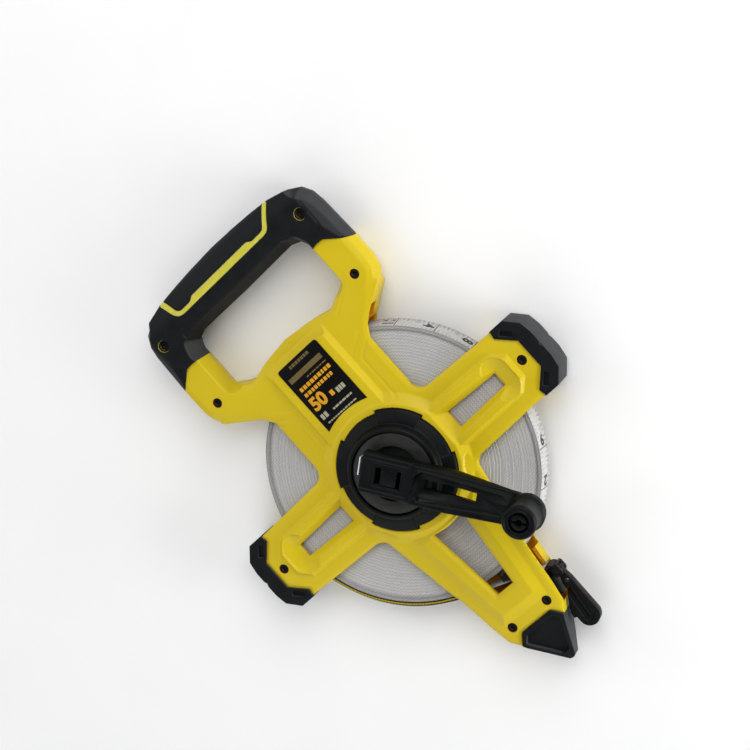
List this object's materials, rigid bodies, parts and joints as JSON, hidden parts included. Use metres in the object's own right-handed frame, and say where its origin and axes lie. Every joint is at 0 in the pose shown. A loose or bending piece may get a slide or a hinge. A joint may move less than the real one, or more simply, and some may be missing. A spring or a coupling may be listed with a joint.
{
  "type": "surveyor tape reel",
  "caption": "Open-frame hand reel of fibreglass measuring tape with a carrying handle, geared crank with knob, tape mouth with a swinging end hook, and rubber feet.",
  "frame": {"origin": "on the winding axis, in the back plane that the reel lies on", "axes": "+Z along the winding axis toward the crank and knob, +Y toward the carrying handle, +X toward the right arm seen from the crank side"},
  "size_m": [0.24, 0.3325, 0.0706],
  "materials": {
    "yellow_shell": "satin moulded ABS",
    "rubber": "matte overmoulded rubber",
    "black_plastic": "satin moulded nylon",
    "inlay": "satin",
    "label": "printed film",
    "steel": "zinc plated",
    "gear_steel": "natural acetal",
    "brass": "turned",
    "tape": "PVC coated glass fibre"
  },
  "bodies": {
    "frame": {"front_shell": "yellow_shell", "rear_shell": "yellow_shell", "shell_screws": "steel", "rear_cap": "black_plastic", "label_plate": "label", "grip_front": "rubber", "grip_rear": "rubber", "grip_inlay": "inlay", "foot_right": "rubber", "foot_left": "rubber", "nose_foot": "rubber", "mouth_block": "black_plastic", "tape_guide": "black_plastic", "hub_ring": "black_plastic", "ring_gear": "black_plastic", "axle_pin": "steel", "thrust_washer": "brass", "tape_tail": "tape", "tape_clamp": "black_plastic", "hook_pin": "steel"},
    "crank": {"crank_disc": "black_plastic", "planet_carrier": "black_plastic", "planet_pins": "steel", "drive_post": "black_plastic", "detent_spring": "steel"},
    "drum": {"drum": "black_plastic", "drum_bush": "brass", "sun_gear": "gear_steel", "tape_roll": "tape"},
    "planet_1": {"planet_gear_1": "gear_steel"},
    "planet_2": {"planet_gear_2": "gear_steel"},
    "planet_3": {"planet_gear_3": "gear_steel"},
    "arm": {"crank_arm": "black_plastic", "knob_pin": "black_plastic"},
    "knob": {"knob": "black_plastic"},
    "hook": {"end_hook": "black_plastic"}
  },
  "joints": [
    {"name": "drum_spin", "type": "hinge", "parent": "frame", "child": "drum", "pos_m": [0, 0, 0.014], "axis": [0, 0, 1], "continuous": true},
    {"name": "crank_spin", "type": "hinge", "parent": "frame", "child": "crank", "pos_m": [0, 0, 0.03], "axis": [0, 0, 1], "continuous": true},
    {"name": "planet_spin_1", "type": "hinge", "parent": "crank", "child": "planet_1", "pos_m": [0, 0.01725, 0.014], "axis": [0, 0, 1], "continuous": true},
    {"name": "planet_spin_2", "type": "hinge", "parent": "crank", "child": "planet_2", "pos_m": [-0.01494, -0.00863, 0.014], "axis": [0, 0, 1], "continuous": true},
    {"name": "planet_spin_3", "type": "hinge", "parent": "crank", "child": "planet_3", "pos_m": [0.01494, -0.00863, 0.014], "axis": [0, 0, 1], "continuous": true},
    {"name": "arm_slide", "type": "slide", "parent": "crank", "child": "arm", "axis": [0.6088, -0.7934, 0], "range_m": [-0.0006, 0.0036]},
    {"name": "knob_spin", "type": "hinge", "parent": "arm", "child": "knob", "pos_m": [0.05205, -0.06783, 0.05], "axis": [0, 0, 1], "continuous": true},
    {"name": "hook_swing", "type": "hinge", "parent": "frame", "child": "hook", "pos_m": [0.03, -0.109, 0.014], "axis": [0, 0, 1], "range_deg": [0, 95]}
  ],
  "couplings": [
    {"joint": "crank_spin", "follows": "drum_spin", "ratio": 0.25},
    {"joint": "planet_spin_1", "follows": "drum_spin", "ratio": -0.75},
    {"joint": "planet_spin_2", "follows": "drum_spin", "ratio": -0.75},
    {"joint": "planet_spin_3", "follows": "drum_spin", "ratio": -0.75}
  ]
}
